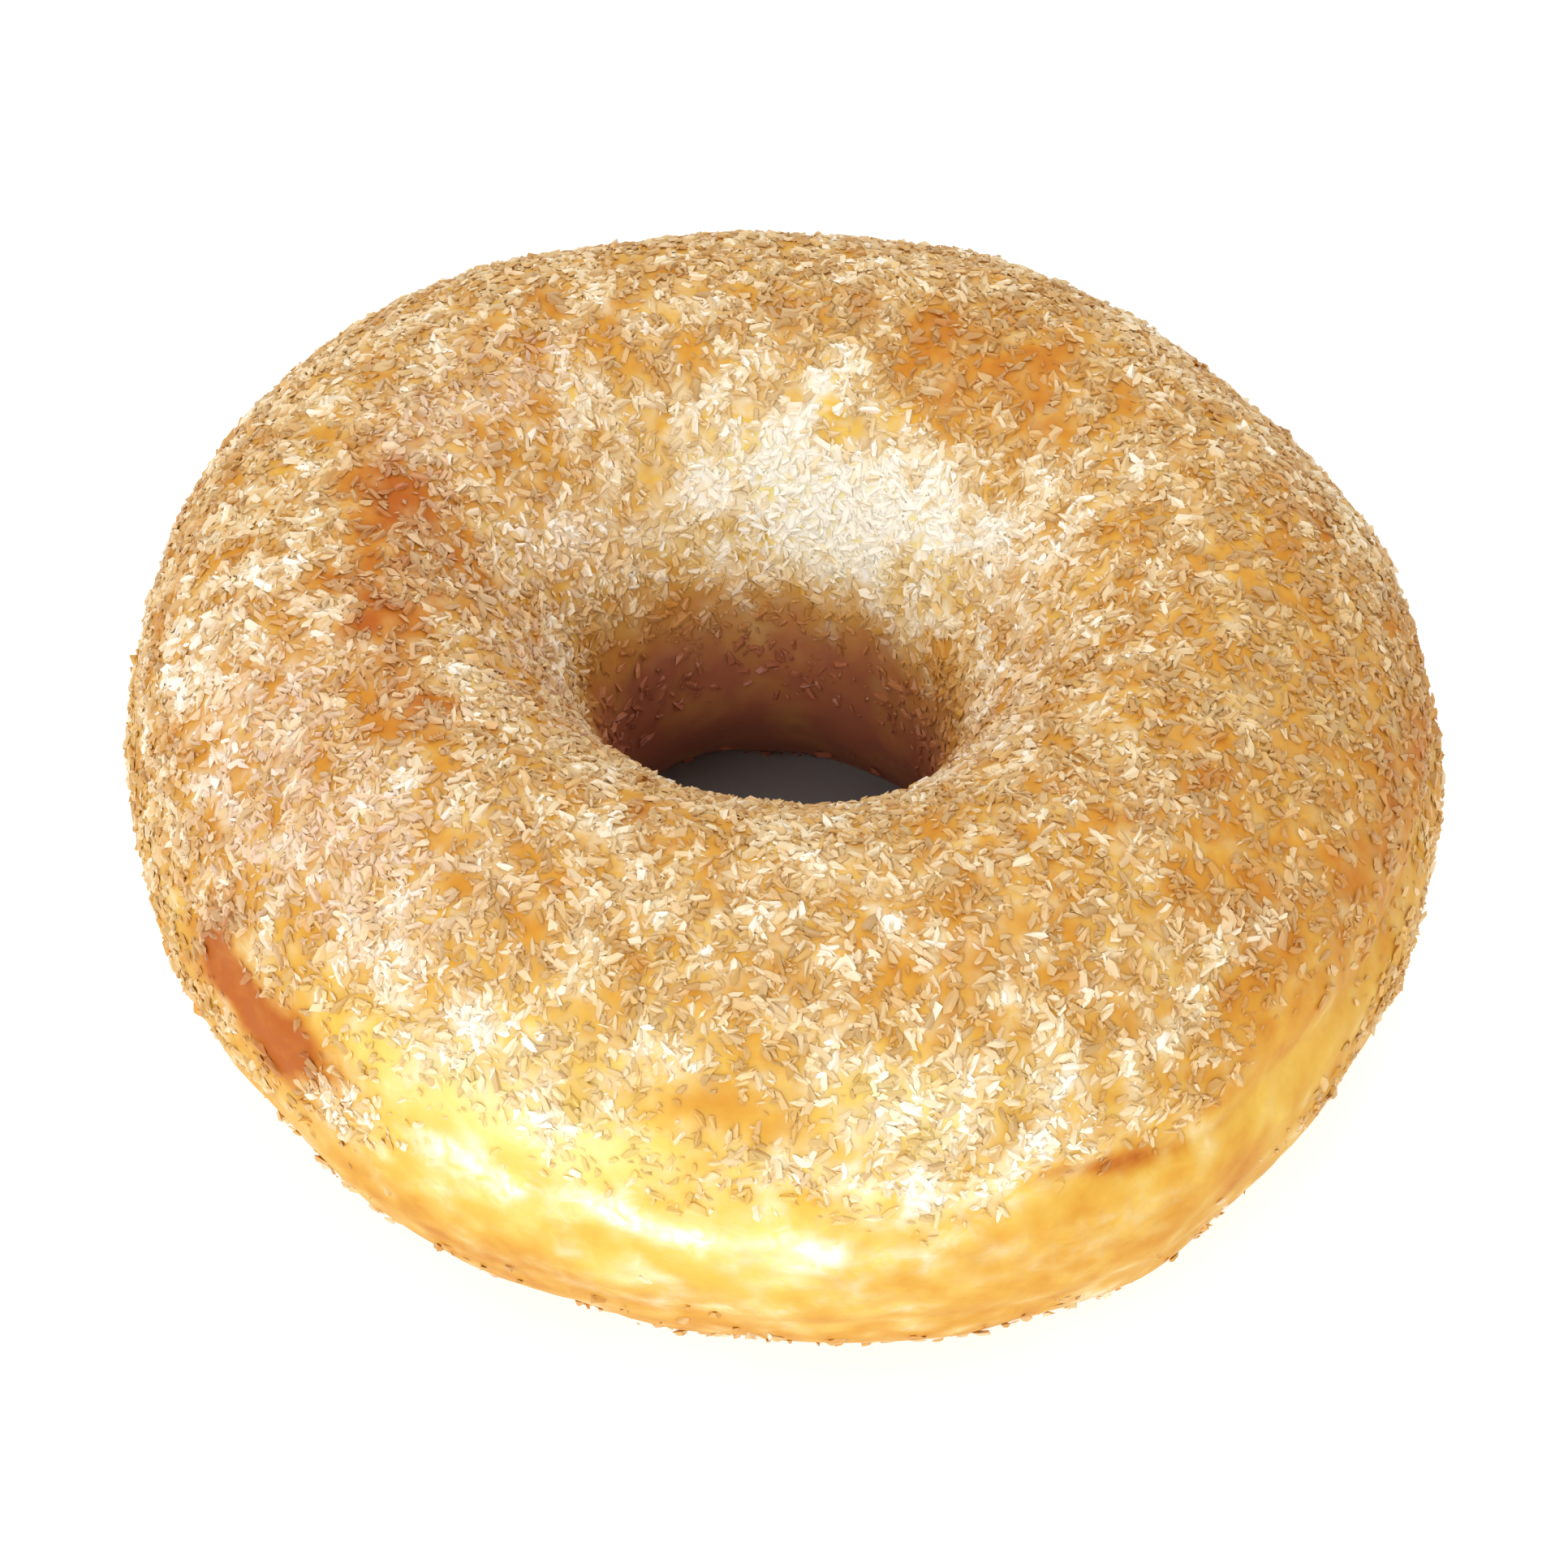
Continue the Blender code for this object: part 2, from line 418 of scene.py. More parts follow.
    yellow_sugar: tuple[Patch, ...] = (
        Patch(330, 40, 26, 34, 0.22),
        Patch(300, -2, 20, 14, 0.20),
        Patch(50, 98, 26, 24, 0.20),
        Patch(350, 28, 16, 18, 0.36),
        Patch(84, 106, 14, 10, 0.12),
        Patch(203, 62, 16, 16, 0.20),
        Patch(143, 94, 16, 14, 0.14),
        Patch(349, 72, 20, 18, 0.30),
        Patch(18, 150, 18, 12, 0.20),
    )
    rosy_sugar: tuple[Patch, ...] = (
        Patch(212, 58, 24, 28, 0.46),
        Patch(140, 100, 22, 14, 0.36),
        Patch(190, 134, 50, 22, 0.36),
        Patch(330, 138, 40, 18, 0.20),
    )

    # Painted light on the hole's right wall, which weakens the painted shade there.
    light_in_hole: tuple[Patch, ...] = (Patch(38, 164, 44, 26, 0.11),)

    def wandering(self, spots: Spots) -> tuple[np.ndarray, np.ndarray]:
        """Moves the angles a little, so that no patch has an even border.

        Args:
            spots: The places.

        Returns:
            Both angles in degrees, the second from -180 to 180.
        """
        across = self.border_wander * noise_at(spots.points, self.border_spacing)
        along = self.border_wander * noise_at(spots.points + self.along_shift, self.border_spacing)
        lift = (np.degrees(spots.lift) + along + 180.0) % 360.0 - 180.0
        return np.degrees(spots.turn) + across, lift

    def drift(self, spots: Spots) -> np.ndarray:
        """Drifts in the sugar, from a few grains wide to a few millimetres.

        Args:
            spots: The places.

        Returns:
            About -1 where golden crust shows through, to 1 where white sugar has gathered.
        """
        shifted = spots.points + self.drift_shift
        return sum(amount * noise_at(shifted, spacing) for spacing, amount in self.drifts)

    def belt(self, lift: np.ndarray) -> np.ndarray:
        """Nearness to the belt round the outside, from 0 to 1, for angles in degrees."""
        return np.exp(-((lift / self.belt_tall) ** 2))

    @staticmethod
    def total(patches: tuple[Patch, ...], turn: np.ndarray, lift: np.ndarray) -> np.ndarray:
        """Strength of several patches together.

        Args:
            patches: The patches.
            turn: Angles round the ring, in degrees.
            lift: Angles round the section, in degrees.

        Returns:
            The sum at each point.
        """
        return sum(patch.strength(turn, lift) for patch in patches)

    def bake(self, spots: Spots) -> np.ndarray:
        """How far the crust is fried at each place; a few pale patches paint highlights on the belt and on
        the far slope of the hole.

        Args:
            spots: The places.

        Returns:
            0 for pale dough, about 0.5 for gold and 1 for brown.
        """
        turn, lift = self.wandering(spots)
        more, less = self.total(self.browned, turn, lift), self.total(self.pale, turn, lift)
        fried = self.golden - self.belt_paleness * self.belt(lift) + more - less
        return np.clip(fried * (1.0 - self.drift_bake * self.drift(spots)), 0.0, 1.0)

    def cover(self, spots: Spots) -> np.ndarray:
        """How thickly the sugar lies at each place.

        Args:
            spots: The places.

        Returns:
            0 for bare crust, 1 for the usual coat, and more for a thick one.
        """
        turn, lift = self.wandering(spots)
        usual = 1.0 - self.belt_bareness * self.belt(lift)
        cover = np.where(lift < self.under_lift, self.under_cover, usual)
        smooth = (lift < self.smooth_lift) & (spots.points[:, 2] > self.base_line)
        cover = np.where(smooth, self.smooth_cover, cover)
        cover = cover + self.total(self.thick_sugar, turn, lift) - self.total(self.thin_sugar, turn, lift)
        cover = cover * (1.0 + self.drift_cover * self.drift(spots))
        # The sugar thins out where shade is painted inside the hole.
        return np.clip(cover * (1.0 - self.hole_shade_bareness * self.hole_shade(spots)), 0.0, self.most_cover)

    def dust(self, spots: Spots) -> np.ndarray:
        """How thickly fine sugar dusts the crust at each place, thickened where highlights are painted on
        the belt and on the far slope of the hole.

        Args:
            spots: The places.

        Returns:
            0 for bare crust and 1 for the usual dusting.
        """
        more = self.total(self.dusted_and_highlights, *self.wandering(spots))
        dust = self.cover(spots) + more + self.drift_dust * self.drift(spots)
        # No fine sugar shows where the painted hole shade is full.
        return np.clip(dust, 0.0, self.most_dust) * (1.0 - self.hole_shade(spots))

    def tone(self, spots: Spots) -> np.ndarray:
        """Tone of the sugar at each place, whitened further where highlights are painted on the belt and on
        the far slope of the hole.

        Args:
            spots: The places.

        Returns:
            0 for yellow sugar, about 0.5 for cream and 1 for white.
        """
        turn, lift = self.wandering(spots)
        more, less = self.total(self.white_sugar_and_highlights, turn, lift), self.total(self.yellow_sugar, turn, lift)
        less = less + self.browned_tone * self.total(self.browned, turn, lift)
        return self.usual_tone + more - less + self.drift_tone * self.drift(spots)

    def rosiness(self, spots: Spots) -> np.ndarray:
        """How rosy the sugar is at each place, from 0 to 1."""
        rosy = self.total(self.rosy_sugar, *self.wandering(spots))
        return np.clip(self.usual_rosiness + rosy, 0.0, 1.0)

    def hole_shade(self, spots: Spots) -> np.ndarray:
        """How strongly shade is painted into the crust inside the hole at each place, darkening and
        browning it; part of the darkness is the crust's own deeper colour there.

        Args:
            spots: The places.

        Returns:
            0 on the rim and outside the hole, up to 1 at its waist and below.
        """
        sunk = (self.rim_height - spots.points[:, 2]) / (self.rim_height - self.waist_height)
        share = np.clip(sunk, 0.0, 1.0)
        inside = -self.hole_edge_steepness * np.cos(spots.lift) - self.hole_edge_start
        lighter = self.total(self.light_in_hole, *self.wandering(spots))
        eased = share * share * (3.0 - 2.0 * share)
        return np.clip(eased * np.clip(inside, 0.0, 1.0) * (1.0 - lighter), 0.0, 1.0)


def mesh_of(name: str, points: np.ndarray, faces: np.ndarray, smooth: bool = True) -> bpy.types.Mesh:
    """Makes a mesh from arrays of points and faces.

    Args:
        name: The mesh's name.
        points: Rows of x, y and z.
        faces: Rows of point numbers, as many in each row as a face has corners.
        smooth: Whether it is shaded as a round surface, or with flat faces.

    Returns:
        The new mesh.
    """
    mesh = bpy.data.meshes.new(name)
    mesh.vertices.add(len(points))
    mesh.vertices.foreach_set("co", points.astype(np.float32).ravel())
    mesh.loops.add(faces.size)
    mesh.loops.foreach_set("vertex_index", faces.astype(np.int32).ravel())
    mesh.polygons.add(len(faces))
    mesh.polygons.foreach_set("loop_start", np.arange(0, faces.size, faces.shape[1], dtype=np.int32))
    mesh.polygons.foreach_set("use_smooth", np.full(len(faces), smooth))
    mesh.update(calc_edges=True)
    mesh.validate()
    return mesh


def add_value(mesh: bpy.types.Mesh, name: str, values: np.ndarray) -> None:
    """Stores one number for each point of a mesh, for its material to read.

    Args:
        mesh: The mesh.
        name: The number's name.
        values: One number for each point.
    """
    layer = mesh.attributes.new(name, "FLOAT", "POINT")
    layer.data.foreach_set("value", values.astype(np.float32))


class Nodes:
    """Short calls for laying out one node tree."""

    def __init__(self, tree: bpy.types.NodeTree) -> None:
        """Keeps the tree that the nodes go into."""
        self.tree = tree

    def add(self, kind: str, **settings: object) -> bpy.types.Node:
        """Adds a node and sets its properties.

        Args:
            kind: Blender's name for the node.
            settings: Properties of the node by name.

        Returns:
            The new node.
        """
        node = self.tree.nodes.new(kind)
        for name, value in settings.items():
            setattr(node, name, value)
        return node

    def link(self, source: bpy.types.NodeSocket, target: bpy.types.NodeSocket) -> None:
        """Joins an output to an input."""
        self.tree.links.new(source, target)

    def feed(self, target: bpy.types.NodeSocket, value: object) -> None:
        """Links an output, or sets a constant.

        Args:
            target: The input.
            value: An output to link, or a number or colour to set.
        """
        if isinstance(value, bpy.types.NodeSocket):
            self.link(value, target)
        else:
            target.default_value = value

    def maths(self, operation: str, *values: object, clamp: bool = False) -> bpy.types.NodeSocket:
        """Adds a maths node.

        Args:
            operation: Blender's name for the operation.
            values: Outputs or numbers for its inputs.
            clamp: Whether the result stays between 0 and 1.

        Returns:
            The result's output.
        """
        node = self.add("ShaderNodeMath", operation=operation, use_clamp=clamp)
        for target, value in zip(node.inputs, values):
            self.feed(target, value)
        return node.outputs[0]

    def mix(self, share: object, first: object, second: object) -> bpy.types.NodeSocket:
        """Mixes two colours.

        Args:
            share: Share of the second colour.
            first: Output or colour.
            second: Output or colour.

        Returns:
            The mixed colour's output.
        """
        node = self.add("ShaderNodeMix", data_type="RGBA", clamp_factor=True)
        self.feed(node.inputs["Factor"], share)
        self.feed(node.inputs["A"], first)
        self.feed(node.inputs["B"], second)
        return node.outputs["Result"]

    def ramp(self, stops: tuple) -> bpy.types.Node:
        """Adds a colour ramp.

        Args:
            stops: Place from 0 to 1 and colour of each stop.

        Returns:
            The ramp node.
        """
        node = self.add("ShaderNodeValToRGB")
        elements = node.color_ramp.elements
        while len(elements) < len(stops):
            elements.new(0.5)
        for element, (place, colour) in zip(elements, stops):
            element.position = place
            element.color = rgba(colour)
        return node

    def value(self, name: str) -> bpy.types.NodeSocket:
        """Reads a number that the mesh stores."""
        return self.add("ShaderNodeAttribute", attribute_name=name).outputs["Fac"]

    def place(self, per_metre: float, detail: float = 2.0, curl: float = 0.0) -> bpy.types.Node:
        """Noise over the object's own coordinates.

        Args:
            per_metre: Bumps in a metre.
            detail: Octaves of finer noise.
            curl: How far the noise is drawn out into curls.

        Returns:
            The noise node.
        """
        node = self.add("ShaderNodeTexNoise")
        node.inputs["Scale"].default_value = per_metre
        node.inputs["Detail"].default_value = detail
        node.inputs["Distortion"].default_value = curl
        self.link(self.add("ShaderNodeTexCoord").outputs["Object"], node.inputs["Vector"])
        return node


def rgba(colour: tuple[float, float, float]) -> tuple[float, float, float, float]:
    """A colour with full cover."""
    return (*colour, 1.0)


def new_group(name: str, inputs: dict[str, tuple[str, object]], outputs: dict[str, str]) -> tuple:
    """Starts a shader node group.

    Args:
        name: The group's name.
        inputs: Kind of socket and default value, by name.
        outputs: Kind of socket by name.

    Returns:
        The group, its input node's outputs and its output node's inputs.
    """
    group = bpy.data.node_groups.new(name, "ShaderNodeTree")
    for label, (kind, default) in inputs.items():
        socket = group.interface.new_socket(label, in_out="INPUT", socket_type=kind)
        socket.default_value = default
    for label, kind in outputs.items():
        group.interface.new_socket(label, in_out="OUTPUT", socket_type=kind)
    given = group.nodes.new("NodeGroupInput")
    result = group.nodes.new("NodeGroupOutput")
    return group, given.outputs, result.inputs


@dataclass(frozen=True)
class CrustTones:
    """Colours of the fried crust from pale to brown, and of the shade painted into it inside the hole."""

    stops: tuple = (
        (0.00, (0.94, 0.87, 0.50)),
        (0.20, (0.88, 0.72, 0.20)),
        (0.40, (0.81, 0.52, 0.085)),
        (0.60, (0.71, 0.36, 0.045)),
        (0.80, (0.60, 0.225, 0.020)),
        (1.00, (0.47, 0.115, 0.010)),
    )
    # Colour of the shade painted into the crust inside the hole.
    hole_shade: tuple = (0.36, 0.115, 0.056)

    def group(self) -> bpy.types.NodeTree:
        """Makes the node group that turns frying and painted hole shade into a colour.

        Returns:
            The node group.
        """
        made, given, result = new_group(
            "crust tone",
            {"Bake": ("NodeSocketFloat", 0.5), "Hole Shade": ("NodeSocketFloat", 0.0)},
            {"Color": "NodeSocketColor"},
        )
        nodes = Nodes(made)
        ramp = nodes.ramp(self.stops)
        nodes.link(given["Bake"], ramp.inputs["Fac"])
        nodes.link(nodes.mix(given["Hole Shade"], ramp.outputs["Color"], rgba(self.hole_shade)), result["Color"])
        return made


@dataclass(frozen=True)
class SugarTones:
    """Colours of the sugar from yellow through cream to white, and a rosy one."""

    stops: tuple = (
        (0.00, (0.50, 0.31, 0.13)),
        (0.25, (0.66, 0.46, 0.22)),
        (0.50, (0.79, 0.62, 0.37)),
        (0.75, (0.91, 0.79, 0.56)),
        (1.00, (0.97, 0.94, 0.84)),
    )
    rosy: tuple = (0.78, 0.58, 0.47)

    def group(self) -> bpy.types.NodeTree:
        """Makes the node group that turns a tone and a rosy share into a colour.

        Returns:
            The node group.
        """
        made, given, result = new_group(
            "sugar tone",
            {"Tone": ("NodeSocketFloat", 0.5), "Rosy": ("NodeSocketFloat", 0.0)},
            {"Color": "NodeSocketColor"},
        )
        nodes = Nodes(made)
        ramp = nodes.ramp(self.stops)
        nodes.link(given["Tone"], ramp.inputs["Fac"])
        nodes.link(nodes.mix(given["Rosy"], ramp.outputs["Color"], rgba(self.rosy)), result["Color"])
        return made


@dataclass(frozen=True)
class FineSugar:
    """Sugar too fine to be grains of its own: curled strokes and soft drifts with a little height."""

    stroke_per_metre: float = 1100.0
    stroke_detail: float = 2.0
    curl: float = 1.2
    stroke_share: float = 0.65
    drift_per_metre: float = 520.0
    drift_detail: float = 3.0
    drift_share: float = 0.45
    edge: float = 4.0

    def group(self) -> bpy.types.NodeTree:
        """Makes the node group that gives the sugar's mask, which is its height as well.

        Returns:
            The node group.
        """
        made, given, result = new_group(
            "fine sugar", {"Cover": ("NodeSocketFloat", 1.0)}, {"Mask": "NodeSocketFloat"}
        )
        nodes = Nodes(made)
        strokes = nodes.place(self.stroke_per_metre, self.stroke_detail, self.curl).outputs["Fac"]
        drifts = nodes.place(self.drift_per_metre, self.drift_detail).outputs["Fac"]
        least = 0.5 - 0.5 * self.edge
        stroke = nodes.maths("MULTIPLY_ADD", strokes, self.edge, least, clamp=True)
        drift = nodes.maths("MULTIPLY_ADD", drifts, self.edge, least, clamp=True)
        drift = nodes.maths("MULTIPLY", drift, self.drift_share)
        both = nodes.maths("MULTIPLY_ADD", stroke, self.stroke_share, drift)
        nodes.link(nodes.maths("MULTIPLY", both, given["Cover"], clamp=True), result["Mask"])
        return made


@dataclass(frozen=True)
class CrustFinish:
    """Fried crust with fine sugar in its pores, and shade painted into it inside the hole."""

    roughness: float = 0.55
    uneven_roughness: float = 0.3
    dusting: float = 0.55
    mottle_per_metre: float = 420.0
    mottle_detail: float = 3.0
    mottle: float = 0.28
    fine_mottle_per_metre: float = 1500.0
    fine_mottle_detail: float = 2.0
    fine_mottle_curl: float = 0.8
    fine_mottle: float = 0.18
    bare_mottle: float = 0.5
    pale_mottle: float = 0.3
    hole_shade_mottle: float = 0.5
    bump_distance: float = 0.00005
    specular: float = 0.15
    subsurface: float = 0.10
    subsurface_radius: tuple = (1.0, 0.5, 0.2)
    subsurface_scale: float = 0.0008

    def material(self, groups: dict[str, bpy.types.NodeTree]) -> bpy.types.Material:
        """Builds the crust's material.

        Args:
            groups: The shared node groups by name.

        Returns:
            The material.
        """
        material = bpy.data.materials.new("fried crust")
        material.use_nodes = True
        nodes = Nodes(material.node_tree)
        shader = material.node_tree.nodes["Principled BSDF"]
        mottling = nodes.place(self.mottle_per_metre, self.mottle_detail).outputs["Fac"]
        fine = nodes.place(self.fine_mottle_per_metre, self.fine_mottle_detail, self.fine_mottle_curl)
        bake, dust, hole_shade = nodes.value("bake"), nodes.value("dust"), nodes.value("hole_shade")
        spread = nodes.maths("MULTIPLY_ADD", mottling, self.mottle * 2.0, -self.mottle - self.fine_mottle)
        offset = nodes.maths("MULTIPLY_ADD", fine.outputs["Fac"], self.fine_mottle * 2.0, spread)
        offset = nodes.maths("MULTIPLY", offset, nodes.maths("ADD", bake, self.pale_mottle, clamp=True))
        calm = nodes.maths("MULTIPLY_ADD", dust, 1.0 - self.bare_mottle, self.bare_mottle, clamp=True)
        fried = nodes.maths("MULTIPLY_ADD", offset, calm, bake, clamp=True)
        crust = nodes.add("ShaderNodeGroup", node_tree=groups["crust tone"])
        nodes.link(fried, crust.inputs["Bake"])
        # The painted hole shade, made uneven by the mottling.
        uneven = nodes.maths("MULTIPLY_ADD", mottling, self.hole_shade_mottle * 2.0, 1.0 - self.hole_shade_mottle)
        nodes.link(nodes.maths("MULTIPLY", hole_shade, uneven, clamp=True), crust.inputs["Hole Shade"])
        specks = nodes.add("ShaderNodeGroup", node_tree=groups["fine sugar"])
        nodes.link(nodes.maths("MULTIPLY", dust, self.dusting), specks.inputs["Cover"])
        sugar = nodes.add("ShaderNodeGroup", node_tree=groups["sugar tone"])
        nodes.link(nodes.value("tone"), sugar.inputs["Tone"])
        nodes.link(nodes.value("rosy"), sugar.inputs["Rosy"])
        colour = nodes.mix(specks.outputs["Mask"], crust.outputs["Color"], sugar.outputs["Color"])
        nodes.link(colour, shader.inputs["Base Color"])
        smoothest = self.roughness - 0.5 * self.uneven_roughness
        rough = nodes.maths("MULTIPLY_ADD", mottling, self.uneven_roughness, smoothest)
        nodes.link(rough, shader.inputs["Roughness"])
        bump = nodes.add("ShaderNodeBump")
        bump.inputs["Distance"].default_value = self.bump_distance
        nodes.link(specks.outputs["Mask"], bump.inputs["Height"])
        nodes.link(bump.outputs["Normal"], shader.inputs["Normal"])
        shader.inputs["Specular IOR Level"].default_value = self.specular
        shader.inputs["Subsurface Weight"].default_value = self.subsurface
        shader.inputs["Subsurface Radius"].default_value = self.subsurface_radius
        shader.inputs["Subsurface Scale"].default_value = self.subsurface_scale
        return material


@dataclass(frozen=True)
class SugarFinish:
    """Crystals that are milky white, and take some of the crust's colour, with its painted shade inside the
    hole.
    """

    name: str
    least_crust: float = 0.04
    clear_share: float = 0.50
    hole_shade_share: float = 1.0
    roughness: float = 0.35
    specular: float = 0.30

    def material(self, groups: dict[str, bpy.types.NodeTree]) -> bpy.types.Material:
        """Builds the crystals' material.

        Args:
            groups: The shared node groups by name.

        Returns:
            The material.
        """
        material = bpy.data.materials.new(self.name)
        material.use_nodes = True
        nodes = Nodes(material.node_tree)
        shader = material.node_tree.nodes["Principled BSDF"]
        sugar = nodes.add("ShaderNodeGroup", node_tree=groups["sugar tone"])
        nodes.link(nodes.value("tone"), sugar.inputs["Tone"])
        nodes.link(nodes.value("rosy"), sugar.inputs["Rosy"])
        crust = nodes.add("ShaderNodeGroup", node_tree=groups["crust tone"])
        nodes.link(nodes.value("bake"), crust.inputs["Bake"])
        nodes.link(nodes.value("hole_shade"), crust.inputs["Hole Shade"])
        shown = nodes.maths("MULTIPLY_ADD", nodes.value("clear"), self.clear_share, self.least_crust)
        # Crystals inside the hole take the crust's colour with its painted shade.
        share = nodes.maths("MULTIPLY_ADD", nodes.value("hole_shade"), self.hole_shade_share, shown, clamp=True)
        colour = nodes.mix(share, sugar.outputs["Color"], crust.outputs["Color"])
        nodes.link(colour, shader.inputs["Base Color"])
        shader.inputs["Roughness"].default_value = self.roughness
        shader.inputs["Specular IOR Level"].default_value = self.specular
        return material


def blunt_crystal() -> tuple[np.ndarray, np.ndarray]:
    """A crystal one unit long with sloping sides and a blunt point at each end.

    Returns:
        Its ten points and its sixteen faces.
    """
    top_half, base_half = 0.24, 0.5
    top, base = 0.5, -0.4
    neck = 0.26
    tip = -0.2
    section = ((top_half, top), (-top_half, top), (-base_half, base), (base_half, base))
    waist = [(x, y, z) for x in (-neck, neck) for y, z in section]
    points = np.array([(-0.5, 0.0, tip), *waist, (0.5, 0.0, tip)])
    faces = []
    for near, after in ((1, 2), (2, 3), (3, 4), (4, 1)):
        far, beyond = near + 4, after + 4
        faces += [(0, after, near), (near, after, beyond), (near, beyond, far), (9, far, beyond)]
    return points, np.array(faces)


def sharp_crystal() -> tuple[np.ndarray, np.ndarray]:
    """A crystal one unit long with six points and eight faces.

    Returns:
        Its points and its faces.
    """
    points = np.array([(-0.5, 0, 0), (0, 0.5, 0), (0, 0, 0.5), (0, -0.5, 0), (0, 0, -0.5), (0.5, 0, 0)])
    faces = []
    for near, after in ((1, 2), (2, 3), (3, 4), (4, 1)):
        faces += [(0, after, near), (5, near, after)]
    return points, np.array(faces)


class Grain(Enum):
    """Sizes of sugar in the coat: number tried, longest and shortest length, share sunk and shape."""

    COARSE = ("sugar_coarse", 9000, 0.00096, 0.00074, 0.25, blunt_crystal)
    MEDIUM = ("sugar_medium", 28000, 0.00076, 0.00054, 0.20, blunt_crystal)
    SMALL = ("sugar_small", 28000, 0.00056, 0.00038, 0.15, blunt_crystal)
    FINE = ("sugar_fine", 52000, 0.00040, 0.00026, 0.10, sharp_crystal)

    def __init__(
        self, label: str, tries: int, longest: float, shortest: float, sunk: float, form: Callable
    ) -> None:
        """Names the numbers.

        Args:
            label: The piece's name.
            tries: Number of crystals tried.
            longest: Length of the longest crystal.
            shortest: Length of the shortest one.
            sunk: Share of a crystal that sits in the crust.
            form: The function that makes a crystal one unit long.
        """
        self.label = label
        self.tries = tries
        self.longest = longest
        self.shortest = shortest
        self.sunk = sunk
        self.form = form


@dataclass
class DoughRing:
    """The dough itself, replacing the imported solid."""

    shape: RingShape
    browning: Browning
    middle: np.ndarray
    sections: int = 400
    points_a_section: int = 240
    piece: bpy.types.Object | None = None

    def build(self) -> bpy.types.Object:
        """Makes the ring's mesh, with its frying, sugar and painted hole shade stored on its points.

        Returns:
            The ring.
        """
        turn, lift = ring_grid(self.sections, self.points_a_section)
        spots = Spots(turn, lift, self.shape.points(turn, lift))
        numbers = np.arange(len(turn)).reshape(self.sections, self.points_a_section)
        onward = np.roll(numbers, -1, axis=0)
        corners = [numbers, onward, np.roll(onward, -1, axis=1), np.roll(numbers, -1, axis=1)]
        mesh = mesh_of("dough", spots.points - self.middle, np.stack(corners, axis=-1).reshape(-1, 4))
        values = {
            "bake": self.browning.bake,
            "dust": self.browning.dust,
            "hole_shade": self.browning.hole_shade,
            "tone": self.browning.tone,
            "rosy": self.browning.rosiness,
        }
        for name, value in values.items():
            add_value(mesh, name, value(spots))
        self.piece = bpy.data.objects.new("dough", mesh)
        bpy.context.scene.collection.objects.link(self.piece)
        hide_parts(NODE)
        return self.piece

    def dress(self, material: bpy.types.Material) -> None:
        """Gives the ring its crust.

        Args:
            material: The crust.
        """
        self.piece.data.materials.append(material)
        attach(self.piece, BODY)


